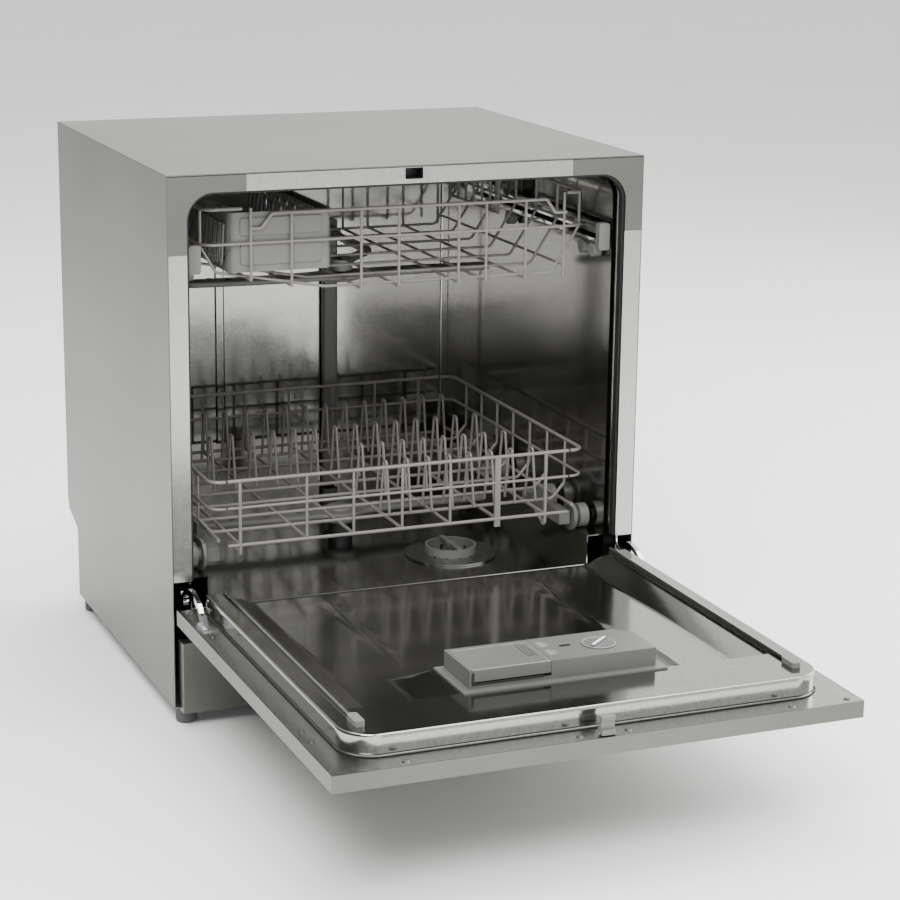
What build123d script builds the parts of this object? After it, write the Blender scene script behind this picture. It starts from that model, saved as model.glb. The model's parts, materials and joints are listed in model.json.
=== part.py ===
"""Compact free-standing dishwasher: front-loading, two racks on slides, drop-down door.

Frame: +X to the machine's right as seen from the front, +Y to the back, +Z up.
The origin lies on the floor under the middle of the machine with its door open.
The rest pose has the door open and both racks pushed home.
"""

from build123d import *
import os

os.makedirs("parts", exist_ok=True)

# ---------------------------------------------------------------- driving sizes, in mm
WIDTH = 550.0
HEIGHT = 601.0
FRONT_Y = 15.0  # plane of the cabinet's front frame
BACK_Y = 495.0
FOOT_HEIGHT = 17.0
SHEET = 1.0
HALF = WIDTH / 2

RECESS_DEPTH = 48.0  # room for the hoses at the lower back
RECESS_TOP = 115.0
RECESS_STEP = 12.0

OPENING_HALF = 253.5
OPENING_TOP = 581.5
OPENING_RADIUS = 30.0
JAMB_FOOT = 161.0

TUB_HALF = 248.0
TUB_TOP = 585.0
TUB_FRONT = 37.0
TUB_BACK = 467.0
TUB_FLOOR = 122.0
TRACK_Z = 156.7  # where the lower rack's wheels run
TRACK_INNER = 229.0

HINGE_Y = -10.0
HINGE_Z = 113.0
LATCH_PIVOT_Y = -489.0
DOOR_NEAR = 1.0
DOOR_FAR = -496.4
DOOR_FACE_Z = 118.0
FLANGE_Z = 135.0

LINER_HALF = 249.0
LINER_NEAR = -21.0
LINER_FAR = -468.0
LINER_RADIUS = 35.0
PAN_HALF = 228.0
PAN_FLOOR_HALF = 195.0
PAN_FAR = -395.0
PAN_Z = 142.0
PAN_KNEE_Z = 153.0  # where the pan's upright edge meets its sloping side

DISPENSER_HALF = 99.0
DISPENSER_NEAR = -327.0
DISPENSER_FAR = -392.0
DISPENSER_TOP = 177.0
LID_RIGHT = -13.0
DIAL_X = 51.0
DIAL_Y = -362.0

WIRE = 2.0  # wire radius
THIN_WIRE = 1.6
LOWER_HALF = 223.0
LOWER_FRONT = 43.0
LOWER_BACK = 443.0
LOWER_RIM_Z = 260.0
LOWER_MID_Z = 229.5
LOWER_FLOOR_Z = 187.0
RUNNER_X = 213.0  # the wires that the wheel carriers clip on to
RUNNER_Z = 193.0
WHEEL_RADIUS = 14.0
WHEEL_Z = 171.0
WHEEL_PLACES = {"front": 77.0, "second": 167.0, "third": 310.0, "rear": 400.0}

UPPER_HALF = 223.0
UPPER_FRONT = 59.0
UPPER_BACK = 439.0
UPPER_RIM_Z = 556.0
UPPER_FRONT_Z = 549.5
UPPER_MID_Z = 518.0
UPPER_FLOOR_Z = 464.0

RAIL_INNER = 234.0
RAIL_OUTER = 244.0
RAIL_LOW = 497.0
RAIL_HIGH = 521.0
RAIL_FRONT = 45.0
RAIL_BACK = 445.0

ARM_Y = 250.0  # axis of both spray arms
ARM_LENGTH = 380.0
LOWER_ARM_Z = 148.0
UPPER_ARM_Z = 436.0

BUTTON_XS = {"power": -120.0, "programme": 80.0, "start": 130.0}
FASCIA_Y = -462.0


# ---------------------------------------------------------------- small builders
def block(low, high, mode=Mode.ADD):
    """Adds a box between two corners to the part being built."""
    middle = [(a + b) / 2 for a, b in zip(low, high)]
    size = [b - a for a, b in zip(low, high)]
    with Locations(tuple(middle)):
        Box(*size, mode=mode)


def drum(centre, radius, height, axis="Z", mode=Mode.ADD):
    """Adds a cylinder centred on a point, along X, Y or Z."""
    turns = {"Z": (0, 0, 0), "X": (0, 90, 0), "Y": (90, 0, 0)}
    with Locations(Location(centre, turns[axis])):
        Cylinder(radius, height, mode=mode)


def rod(points, radius=WIRE, bend=0.0):
    """Returns a round wire along straight runs, with its corners bent to a radius."""
    with BuildLine(mode=Mode.PRIVATE) as path:
        if bend:
            FilletPolyline(*points, radius=bend)
        else:
            Polyline(*points)
    start = Plane(origin=path.line @ 0, z_dir=path.line % 0)
    with BuildSketch(start, mode=Mode.PRIVATE) as section:
        Circle(radius)
    return sweep(section.sketch, path=path.wires()[0], mode=Mode.PRIVATE)


def save(part, name):
    """Labels a finished piece and writes it."""
    part.label = name
    export_step(part, f"parts/{name}.step")


# ---------------------------------------------------------------- casing
def side_outline():
    """Outline of a side panel in Y and Z, with the step for the hose recess."""
    recess_y = BACK_Y - RECESS_DEPTH
    return [
        (FRONT_Y, FOOT_HEIGHT),
        (recess_y, FOOT_HEIGHT),
        (recess_y, RECESS_TOP - RECESS_STEP),
        (BACK_Y - RECESS_STEP, RECESS_TOP),
        (BACK_Y, RECESS_TOP + RECESS_STEP),
        (BACK_Y, HEIGHT - SHEET - 0.4),
        (FRONT_Y, HEIGHT - SHEET - 0.4),
    ]


def make_side_panel(side, name):
    x = -HALF if side < 0 else HALF - SHEET
    with BuildPart() as panel:
        with BuildSketch(Plane.YZ.offset(x)):
            with BuildLine():
                Polyline(*side_outline(), close=True)
            make_face()
        extrude(amount=SHEET)
        low_step = [e for e in panel.edges().filter_by(Axis.X)
                    if abs(e.center().Z - RECESS_TOP + RECESS_STEP) < 0.1]
        fillet(low_step, 9)
    save(panel.part, name)


make_side_panel(-1, "side_panel_left")
make_side_panel(1, "side_panel_right")

with BuildPart() as top_panel:
    block((-HALF, FRONT_Y, HEIGHT - SHEET - 0.4), (HALF, BACK_Y, HEIGHT))
    fillet(top_panel.edges().filter_by(Axis.Y).group_by(Axis.Z)[-1], 0.9)
save(top_panel.part, "top_panel")

with BuildPart() as rear_panel:
    inner = HALF - SHEET - 0.2
    recess_y = BACK_Y - RECESS_DEPTH
    block((-inner, BACK_Y - SHEET, RECESS_TOP + RECESS_STEP),
          (inner, BACK_Y, HEIGHT - SHEET - 0.6))
    block((-inner, recess_y - SHEET, RECESS_TOP), (inner, BACK_Y, RECESS_TOP + SHEET))
    block((-inner, BACK_Y - SHEET, RECESS_TOP), (inner, BACK_Y, RECESS_TOP + RECESS_STEP))
    block((-inner, recess_y - SHEET, FOOT_HEIGHT + 1.4),
          (inner, recess_y, RECESS_TOP))
    for z in (300.0, 330.0, 360.0, 390.0):
        with BuildSketch(Plane.XZ.offset(-BACK_Y)):
            with GridLocations(60, 1, 5, 1):
                with Locations((0, z)):
                    SlotOverall(44, 5)
        extrude(amount=4, both=True, mode=Mode.SUBTRACT)
    drum((-185, recess_y - 0.5, 70), 14, 6, "Y", Mode.SUBTRACT)
    drum((-125, recess_y - 0.5, 70), 11, 6, "Y", Mode.SUBTRACT)
    drum((170, recess_y - 0.5, 70), 9, 6, "Y", Mode.SUBTRACT)
save(rear_panel.part, "rear_panel")

with BuildPart() as base_tray:
    inner = HALF - SHEET - 0.2
    recess_y = BACK_Y - RECESS_DEPTH
    block((-inner, FRONT_Y + 1.6, FOOT_HEIGHT), (inner, recess_y - SHEET - 0.2, FOOT_HEIGHT + 1.2))
    block((-HALF + 24, FRONT_Y + 4, FOOT_HEIGHT), (HALF - 24, FRONT_Y + 5.4, TUB_FLOOR - 7))
    for side in (-1, 1):
        x = side * (HALF - 26)
        block((x - 0.7, FRONT_Y + 5.4, FOOT_HEIGHT), (x + 0.7, recess_y - 20, 60))
save(base_tray.part, "base_tray")

with BuildPart() as plinth:
    front = FRONT_Y - 17
    block((-HALF + 5, front, FOOT_HEIGHT), (HALF - 5, FRONT_Y + 1.4, 97))
    block((-HALF + 6.2, front + 1.2, FOOT_HEIGHT - 1), (HALF - 6.2, FRONT_Y + 2, 95.8),
          Mode.SUBTRACT)
    for side in (-1, 1):
        x = side * (HALF - 12)
        block((x - 6, FRONT_Y - 1, 60), (x + 6, FRONT_Y + 2, 98), Mode.SUBTRACT)
    fillet(plinth.edges().filter_by(Axis.Z).group_by(Axis.Y)[0], 1.0)
save(plinth.part, "plinth")

with BuildPart() as front_frame:
    with BuildSketch(Plane.XZ.offset(-FRONT_Y)):
        with Locations((0, (JAMB_FOOT + HEIGHT - 2) / 2)):
            Rectangle(WIDTH - 2.4, HEIGHT - 2 - JAMB_FOOT)
        with Locations((0, OPENING_TOP / 2)):
            RectangleRounded(2 * OPENING_HALF, OPENING_TOP, OPENING_RADIUS, mode=Mode.SUBTRACT)
        with Locations((0, 592.2)):
            RectangleRounded(20.5, 12.2, 1.2, mode=Mode.SUBTRACT)
    extrude(amount=-1.2)
save(front_frame.part, "front_frame")

with BuildPart() as corner_plates:
    for side in (-1, 1):
        with BuildSketch(Plane.XZ.offset(-FRONT_Y)):
            with Locations((side * 231.5, 557.9)):
                Rectangle(2 * 43.3, 2 * 41.1)
            with Locations((0, OPENING_TOP / 2)):
                RectangleRounded(2 * OPENING_HALF, OPENING_TOP, OPENING_RADIUS, mode=Mode.SUBTRACT)
        extrude(amount=0.5)
save(corner_plates.part, "corner_plates")

with BuildPart() as feet:
    for x in (-HALF + 15, HALF - 15):
        for y in (FRONT_Y + 8, 432):
            drum((x, y, FOOT_HEIGHT / 2), 11.5, FOOT_HEIGHT)
    fillet(feet.edges().filter_by(GeomType.CIRCLE).group_by(Axis.Z)[0], 2.5)
save(feet.part, "feet")

with BuildPart() as cabinet_screws:
    for x in (-262, 262):
        for z in (150, 300, 450, 585):
            drum((x, BACK_Y - 1.5, z), 1.6, 5, "Y")
            drum((x, BACK_Y + 0.7, z), 3.6, 1.4, "Y")
            block((x - 2.4, BACK_Y + 0.9, z - 0.4), (x + 2.4, BACK_Y + 2, z + 0.4), Mode.SUBTRACT)
            block((x - 0.4, BACK_Y + 0.9, z - 2.4), (x + 0.4, BACK_Y + 2, z + 2.4), Mode.SUBTRACT)
save(cabinet_screws.part, "cabinet_screws")


# ---------------------------------------------------------------- wash chamber
def make_arch(y0, y1, half, top, radius, foot, wall):
    """Adds an upside-down U shell between two Y planes."""
    for grow, mode in ((wall, Mode.ADD), (0.0, Mode.SUBTRACT)):
        with BuildSketch(Plane.XZ.offset(-y0)) as outline:
            with Locations((0, top / 2)):
                RectangleRounded(2 * (half + grow), top + 2 * grow, radius + grow)
        extrude(outline.sketch, amount=-(y1 - y0), mode=mode)
    block((-half - 20, y0 - 1, -10), (half + 20, y1 + 1, foot), Mode.SUBTRACT)


with BuildPart() as deep_tub:
    make_arch(TUB_FRONT, TUB_BACK, TUB_HALF, TUB_TOP, 32, 118, 1.0)

with BuildPart() as tub_shoulder:
    make_arch(TUB_FRONT - 1, TUB_FRONT, TUB_HALF, OPENING_TOP, 30, 118, 7.6)

with BuildPart() as tub_wrapper:
    make_arch(FRONT_Y + 1.3, TUB_FRONT, OPENING_HALF + 1.2, OPENING_TOP + 1.4, 31, 118, 1.0)
    add(deep_tub.part)
    add(tub_shoulder.part)
save(tub_wrapper.part, "tub_wrapper")

with BuildPart() as tub_back:
    with BuildSketch(Plane.XZ.offset(-TUB_BACK)):
        with Locations((0, TUB_TOP / 2)):
            RectangleRounded(2 * TUB_HALF, TUB_TOP, 32)
    extrude(amount=-1)
    block((-TUB_HALF - 1, TUB_BACK - 1, -1), (TUB_HALF + 1, TUB_BACK + 2, 118), Mode.SUBTRACT)
    for x in (-83, -220, 220):
        block((x - 6, TUB_BACK - 3, 190), (x + 6, TUB_BACK, 540))
    fillet(tub_back.edges().filter_by(Axis.Z).group_by(Axis.Y)[0], 2.5)
save(tub_back.part, "tub_back")

with BuildPart() as tub_floor:
    inner = TUB_HALF - 0.3
    block((-inner, TUB_FRONT, TUB_FLOOR), (inner, TUB_BACK - 0.2, TUB_FLOOR + 1))
    block((-inner, TUB_FRONT, TUB_FLOOR - 4), (inner, TUB_FRONT + 1, TUB_FLOOR))
    for side in (-1, 1):
        inside, outside = sorted((side * TRACK_INNER, side * inner))
        wall = side * (TRACK_INNER + 0.5)
        block((inside, TUB_FRONT + 2, TRACK_Z - 1), (outside, TUB_BACK - 0.2, TRACK_Z))
        block((wall - 0.5, TUB_FRONT + 2, TUB_FLOOR), (wall + 0.5, TUB_BACK - 0.2, TRACK_Z))
    drum((0, ARM_Y, TUB_FLOOR), 20, 8, mode=Mode.SUBTRACT)
    drum((95, 130, TUB_FLOOR), 46, 8, mode=Mode.SUBTRACT)
save(tub_floor.part, "tub_floor")

with BuildPart() as door_gasket:
    make_arch(FRONT_Y + 3, FRONT_Y + 12, OPENING_HALF - 2.6, OPENING_TOP - 2.6, 27.4, JAMB_FOOT, 3.5)
save(door_gasket.part, "door_gasket")

with BuildPart() as latch_catch:
    block((-13, FRONT_Y + 1.3, 584.6), (13, FRONT_Y + 20, 599.2))
    block((-10, FRONT_Y, 586.4), (10, FRONT_Y + 18, 597.6), Mode.SUBTRACT)
save(latch_catch.part, "latch_catch")

with BuildPart() as rail_guides:
    for side in (-1, 1):
        for y in (62.0, 90.0, 300.0):
            drum((side * 240, y, RAIL_LOW - 8.3), 8, 10, "X")
            drum((side * 246.4, y, RAIL_LOW - 8.3), 3, 3.2, "X")
save(rail_guides.part, "rail_guides")

with BuildPart() as filter_plate:
    drum((95, 130, TUB_FLOOR + 2.2), 54, 2)
    drum((95, 130, TUB_FLOOR - 2.5), 44, 8)
    drum((95, 130, TUB_FLOOR), 30.3, 20, mode=Mode.SUBTRACT)
    for ring, count in ((37, 16), (43, 20), (49, 24)):
        with Locations((95, 130, TUB_FLOOR + 3.2)):
            with PolarLocations(ring, count):
                Hole(1.6, depth=1.2)
save(filter_plate.part, "filter_plate")

with BuildPart() as filter_cup:
    drum((95, 130, 115), 30, 40)
    drum((95, 130, 116), 27.5, 40, mode=Mode.SUBTRACT)
    block((92, 101, 133), (98, 159, 137))
    drum((95, 130, 135), 5, 4)
    with Locations((95, 130, 114)):
        with PolarLocations(30, 12):
            Box(8, 4, 24, mode=Mode.SUBTRACT)
save(filter_cup.part, "filter_cup")

with BuildPart() as riser_duct:
    block((51, 456, 126), (71, TUB_BACK - 3.4, 470))
    fillet(riser_duct.edges().filter_by(Axis.Z).group_by(Axis.Y)[0], 4)
    drum((61, 452.4, 455), 6, 7.2, "Y")
    drum((61, 452.4, 455), 4.2, 8, "Y", Mode.SUBTRACT)
save(riser_duct.part, "riser_duct")

# ---------------------------------------------------------------- water system in the base
with BuildPart() as sump:
    drum((0, ARM_Y, 96), 62, 51)
    drum((95, 130, 88), 40, 36)
    block((0, 150, 74), (70, 230, 100))
    drum((0, ARM_Y, 131), 15, 34)
    drum((0, ARM_Y, 130), 9, 40, mode=Mode.SUBTRACT)
    drum((95, 130, 100), 31, 30, mode=Mode.SUBTRACT)
save(sump.part, "sump")

with BuildPart() as wash_pump:
    drum((-160, 250, 60), 34, 34, "X")
    drum((-115, 250, 60), 30, 56, "X")
    drum((-75.3, 250, 84), 11, 22, "X")
    block((-100, 240, 60), (-80, 260, 94))
    block((-200, 226, FOOT_HEIGHT + 1.4), (-90, 274, 28))
save(wash_pump.part, "wash_pump")

with BuildPart() as drain_pump:
    drum((150, 250, 62), 24, 60, "Y")
    drum((150, 212, 62), 17, 16, "Y")
    block((131, 225, FOOT_HEIGHT + 1.4), (169, 275, 40))
save(drain_pump.part, "drain_pump")

recess_y = BACK_Y - RECESS_DEPTH
with BuildPart() as inlet_valve:
    drum((-185, recess_y + 11, 70), 13.2, 22, "Y")
    drum((-185, recess_y - 14, 70), 11, 28, "Y")
    drum((-185, recess_y + 6, 70), 8, 33, "Y", Mode.SUBTRACT)
    block((-202, recess_y - 52, 56), (-168, recess_y - 20, 92))
    drum((-185, recess_y - 36, 100), 12, 18)
save(inlet_valve.part, "inlet_valve")

with BuildPart() as drain_spigot:
    drum((-125, recess_y + 12, 70), 10, 44, "Y")
    drum((-125, recess_y - 3, 70), 14, 3.6, "Y")
    drum((-125, recess_y + 12, 70), 7.5, 60, "Y", Mode.SUBTRACT)
save(drain_spigot.part, "drain_spigot")

with BuildPart() as cable_gland:
    drum((170, recess_y + 3, 70), 12, 6, "Y")
    drum((170, recess_y - 6, 70), 8.6, 14, "Y")
    drum((170, recess_y, 70), 4.2, 40, "Y", Mode.SUBTRACT)
save(cable_gland.part, "cable_gland")

with BuildPart() as power_box:
    block((100, 330, FOOT_HEIGHT + 1.4), (230, 420, 62))
    fillet(power_box.edges().filter_by(Axis.Z), 5)
    block((103, 333, FOOT_HEIGHT + 4), (227, 417, 59), Mode.SUBTRACT)
save(power_box.part, "power_box")

with BuildPart() as hinge_brackets:
    for side in (-1, 1):
        x = side * 256.9
        block((x - 0.7, FRONT_Y + 3, 84), (x + 0.7, FRONT_Y + 60, 168))
        for radius_at in (36.6, 49.4):
            y = HINGE_Y + radius_at * 0.743
            z = HINGE_Z + radius_at * 0.669
            drum((side * 260.6, y, z), 3.0, 6.0, "X")
save(hinge_brackets.part, "hinge_brackets")

# ---------------------------------------------------------------- door
with BuildPart() as door_outer_panel:
    block((-HALF, DOOR_FAR, DOOR_FACE_Z), (HALF, DOOR_NEAR, FLANGE_Z))
    fillet(door_outer_panel.edges().filter_by(Axis.Z).group_by(Axis.Y)[0], 1.5)
    block((-HALF + 1, DOOR_FAR + 1, DOOR_FACE_Z + 1), (HALF - 1, DOOR_NEAR + 1, FLANGE_Z + 1),
          Mode.SUBTRACT)
    block((-182, FASCIA_Y - 24, DOOR_FACE_Z - 1), (182, FASCIA_Y + 24, DOOR_FACE_Z + 2),
          Mode.SUBTRACT)
save(door_outer_panel.part, "door_outer_panel")

with BuildPart() as door_flange:
    block((-HALF + 1.2, DOOR_FAR + 1.2, FLANGE_Z - 1.2), (HALF - 1.2, -2, FLANGE_Z))
    block((-236, -455, FLANGE_Z - 2), (236, -24, FLANGE_Z + 1), Mode.SUBTRACT)
    for side in (-1, 1):
        block((side * 240 - 0.6, -455, DOOR_FACE_Z + 1), (side * 240 + 0.6, -30, FLANGE_Z))
save(door_flange.part, "door_flange")


def pan_profile(drop):
    """Cross-section of the liner's pan in X and Z, lowered by a wall."""
    side = PAN_HALF + drop
    knee = PAN_KNEE_Z - 0.72 * drop
    bottom_half = PAN_FLOOR_HALF + 0.17 * drop
    return [
        (-side, TRACK_Z + 3),
        (-side, knee),
        (-bottom_half, PAN_Z - drop),
        (bottom_half, PAN_Z - drop),
        (side, knee),
        (side, TRACK_Z + 3),
    ]


def liner_prism(inset, z0, z1, mode):
    """Adds or cuts the liner's plan shape, with its two far corners rounded."""
    half = LINER_HALF - inset
    with BuildSketch(Plane.XY.offset(z0)) as plan:
        with BuildLine():
            Polyline((-half, LINER_NEAR + inset), (-half, LINER_FAR + inset),
                     (half, LINER_FAR + inset), (half, LINER_NEAR + inset), close=True)
        make_face()
        fillet(plan.vertices().group_by(Axis.Y)[0], LINER_RADIUS - inset)
    extrude(plan.sketch, amount=z1 - z0, mode=mode)


def pan_prism(drop, near, far, mode):
    """Adds or cuts the pan's trapezoid along Y."""
    with BuildSketch(Plane.XZ.offset(-near)) as section:
        with BuildLine():
            Polyline(*pan_profile(drop), close=True)
        make_face()
    extrude(section.sketch, amount=near - far, mode=mode)


with BuildPart() as liner_pan:
    pan_prism(1.0, LINER_NEAR, PAN_FAR - 1, Mode.ADD)
    block((-300, -500, TRACK_Z), (300, 0, TRACK_Z + 9), Mode.SUBTRACT)

with BuildPart() as dispenser_seat:
    for z, grow in ((PAN_Z - 0.5, 48), (TRACK_Z, 12)):
        with BuildSketch(Plane.XY.offset(z)):
            near, far = DISPENSER_NEAR + grow * 0.6, PAN_FAR + 0.1
            with Locations((0, (near + far) / 2)):
                Rectangle(2 * (DISPENSER_HALF + grow), near - far)
    loft()
    block((-85, -380, PAN_Z - 5), (85, -330, TRACK_Z - 1.5), Mode.SUBTRACT)

with BuildPart() as door_liner:
    liner_prism(0, FLANGE_Z, TRACK_Z, Mode.ADD)
    liner_prism(1, FLANGE_Z, TRACK_Z - 1, Mode.SUBTRACT)
    add(liner_pan.part)
    pan_prism(0.0, LINER_NEAR + 1, PAN_FAR, Mode.SUBTRACT)
    add(dispenser_seat.part)
    block((-85, -380, PAN_Z - 2), (85, -330, TRACK_Z - 1.5), Mode.SUBTRACT)
    block((-14, LINER_FAR - 1, FLANGE_Z - 1), (14, LINER_FAR + 8, TRACK_Z + 1), Mode.SUBTRACT)
save(door_liner.part, "door_liner")

with BuildPart() as door_tracks:
    for side in (-1, 1):
        x = side * 228.7
        add(rod([(x, -23, TRACK_Z + 2.0), (x, -419, TRACK_Z + 2.0)], 2.0))
save(door_tracks.part, "door_tracks")

with BuildPart() as track_stops:
    for side in (-1, 1):
        x = side * 228.7
        block((x - 5, -444, TRACK_Z), (x + 5, -419, TRACK_Z + 5.5))
    fillet(track_stops.edges().filter_by(Axis.Z), 3.5)
save(track_stops.part, "track_stops")

with BuildPart() as door_screws:
    places = [(side * 264.5, y) for side in (-1, 1) for y in (-95.5, -382.0, -409.5)]
    places += [(x, -484.5) for x in (-200, -26, 24.5, 200, 262)]
    for x, y in places:
        drum((x, y, FLANGE_Z + 0.6), 3.4, 1.2)
        block((x - 2.6, y - 0.5, FLANGE_Z + 0.6), (x + 2.6, y + 0.5, FLANGE_Z + 2), Mode.SUBTRACT)
save(door_screws.part, "door_screws")

with BuildPart() as hinge_arms:
    for side in (-1, 1):
        with BuildSketch(Plane.YZ.offset(side * 260.5 - 2.5)):
            with BuildLine():
                far = CenterArc((HINGE_Y, HINGE_Z), 46, 37, 109)
                near = CenterArc((HINGE_Y, HINGE_Z), 40, 37, 109)
                Line(far @ 0, near @ 0)
                Line(far @ 1, near @ 1)
            make_face()
        extrude(amount=5)
        x = side * 260.5
        block((x - 2.5, -56, FLANGE_Z), (x + 2.5, -44, FLANGE_Z + 9))
        block((x - 8, -80, FLANGE_Z), (x + 8, -52, FLANGE_Z + 1.6))
save(hinge_arms.part, "hinge_arms")

with BuildPart() as control_fascia:
    block((-181.6, FASCIA_Y - 23.6, DOOR_FACE_Z - 0.6), (181.6, FASCIA_Y + 23.6, FLANGE_Z - 3))
    fillet(control_fascia.edges().filter_by(Axis.Z), 3)
    block((-179, FASCIA_Y - 21, DOOR_FACE_Z + 2), (179, FASCIA_Y + 21, FLANGE_Z - 5), Mode.SUBTRACT)
    block((-60, FASCIA_Y - 12, DOOR_FACE_Z - 1), (40, FASCIA_Y + 12, DOOR_FACE_Z + 0.2), Mode.SUBTRACT)
    for x in BUTTON_XS.values():
        drum((x, FASCIA_Y, DOOR_FACE_Z), 7.3, 5, mode=Mode.SUBTRACT)
save(control_fascia.part, "control_fascia")

for button_name, button_x in BUTTON_XS.items():
    with BuildPart() as button:
        drum((button_x, FASCIA_Y, DOOR_FACE_Z + 2), 7.0, 6)
        fillet(button.edges().filter_by(GeomType.CIRCLE).group_by(Axis.Z)[0], 1.0)
        drum((button_x, FASCIA_Y, DOOR_FACE_Z + 6), 8.6, 2)
    save(button.part, f"button_{button_name}")

with BuildPart() as latch_hook:
    drum((0, LATCH_PIVOT_Y, FLANGE_Z + 2), 1.8, 17, "X")
    block((-7, -494, FLANGE_Z + 1), (7, -484, FLANGE_Z + 6))
    block((-7, -491, FLANGE_Z + 5), (7, -486, FLANGE_Z + 19))
    block((-7, -492.4, FLANGE_Z + 15), (7, -486, FLANGE_Z + 19))
    fillet(latch_hook.edges().filter_by(Axis.X).group_by(Axis.Z)[-1], 1.2)
save(latch_hook.part, "latch_hook")

with BuildPart() as dispenser_body:
    block((-DISPENSER_HALF - 9, DISPENSER_FAR - 9, TRACK_Z),
          (DISPENSER_HALF + 9, DISPENSER_NEAR + 5, TRACK_Z + 1.8))
    block((-DISPENSER_HALF, DISPENSER_FAR, TRACK_Z), (DISPENSER_HALF, DISPENSER_NEAR, DISPENSER_TOP))
    corner = [e for e in dispenser_body.edges().filter_by(Axis.Z)
              if e.center().X > 90 and e.center().Y > DISPENSER_NEAR - 2 and e.center().Z > 160]
    chamfer(corner, 16)
    low_lid = DISPENSER_TOP - 15.5
    block((-DISPENSER_HALF + 2.5, DISPENSER_FAR - 1, low_lid),
          (LID_RIGHT, DISPENSER_NEAR - 3, DISPENSER_TOP + 1), Mode.SUBTRACT)
    block((-DISPENSER_HALF + 12, DISPENSER_FAR + 12, TRACK_Z + 2),
          (LID_RIGHT - 12, DISPENSER_NEAR - 14, low_lid + 1), Mode.SUBTRACT)
    drum((DIAL_X, DIAL_Y, DISPENSER_TOP), 17.4, 9, mode=Mode.SUBTRACT)
save(dispenser_body.part, "dispenser_body")

with BuildPart() as detergent_lid:
    low = DISPENSER_TOP - 2.2
    lid_left, lid_right = -DISPENSER_HALF + 3.0, LID_RIGHT - 0.4
    block((lid_left, DISPENSER_FAR + 0.2, low), (lid_right, DISPENSER_NEAR - 3.6, DISPENSER_TOP))
    block((lid_left, DISPENSER_FAR + 0.2, DISPENSER_TOP - 12), (lid_right, DISPENSER_FAR + 2.2, low))
    fillet(detergent_lid.edges().filter_by(Axis.X).group_by(Axis.Z)[-1].sort_by(Axis.Y)[0], 0.8)
    fillet(detergent_lid.edges().filter_by(Axis.X).group_by(Axis.Y)[-1], 1.09)  # round about the hinge
    for n in range(3):
        block((LID_RIGHT - 16 + 4 * n, -372, DISPENSER_TOP),
              (LID_RIGHT - 14.4 + 4 * n, -340, DISPENSER_TOP + 0.8))
save(detergent_lid.part, "detergent_lid")

with BuildPart() as rinse_cap:
    drum((DIAL_X, DIAL_Y, DISPENSER_TOP - 1.6), 17.0, 5)
    with BuildSketch(Plane.XY.offset(DISPENSER_TOP + 0.9)):
        with Locations(Location((DIAL_X, DIAL_Y, 0), 40)):
            SlotOverall(32, 4)
    extrude(amount=2.2)
save(rinse_cap.part, "rinse_cap")

# ---------------------------------------------------------------- rails of the upper rack
with BuildPart() as upper_rails:
    for side in (-1, 1):
        x0, x1 = sorted((side * RAIL_INNER, side * RAIL_OUTER))
        block((x0, RAIL_FRONT, RAIL_LOW), (x1, RAIL_BACK, RAIL_HIGH))
    fillet(upper_rails.edges().filter_by(Axis.Y), 3.0)
    for side in (-1, 1):
        a, b = sorted((side * (RAIL_INNER + 1.3), side * (RAIL_OUTER - 1.3)))
        block((a, RAIL_FRONT - 1, RAIL_LOW + 1.3), (b, RAIL_BACK + 1, RAIL_HIGH - 1.3), Mode.SUBTRACT)
        a, b = sorted((side * (RAIL_INNER - 1), side * (RAIL_INNER + 3)))
        block((a, RAIL_FRONT - 1, RAIL_LOW + 6), (b, RAIL_BACK + 1, RAIL_HIGH - 6), Mode.SUBTRACT)
save(upper_rails.part, "upper_rails")

with BuildPart() as rail_caps:
    for side in (-1, 1):
        x0, x1 = sorted((side * (RAIL_INNER - 1.5), side * (RAIL_OUTER + 1.5)))
        block((x0, 36.0, RAIL_LOW - 5), (x1, RAIL_FRONT, RAIL_HIGH + 1.5))
    fillet(rail_caps.edges().filter_by(Axis.Y), 3)
save(rail_caps.part, "rail_caps")

# ---------------------------------------------------------------- upper rack
UPPER_XS = (-170.0, -124.0, -44.0, 0.0, 71.0, 104.0, 152.0, 199.0)
UPPER_YS = [UPPER_FRONT + 12 + 59 * n for n in range(7)]


def upper_floor_z(x):
    """Height of the upper rack's dished floor."""
    if x <= -82:
        return UPPER_FLOOR_Z + (-82 - x) * 16.0 / 88.0
    return UPPER_FLOOR_Z


with BuildPart() as upper_rack_floor:
    wires = []
    for y in UPPER_YS:
        wires.append(rod([(-UPPER_HALF + 1.0, y, UPPER_MID_Z - 4), (-206, y, 486), (-170, y, 480),
                          (-82, y, UPPER_FLOOR_Z), (190, y, UPPER_FLOOR_Z),
                          (UPPER_HALF - 1.0, y, UPPER_MID_Z - 4)], THIN_WIRE, 7))
    for x in UPPER_XS:
        z = upper_floor_z(x) - 2.4
        if x > 192:
            z = UPPER_FLOOR_Z + 10
        wires.append(rod([(x, UPPER_FRONT + 1.0, z), (x, UPPER_BACK - 1.0, z)], THIN_WIRE))
    add(wires)
save(upper_rack_floor.part, "upper_rack_floor")

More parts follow.
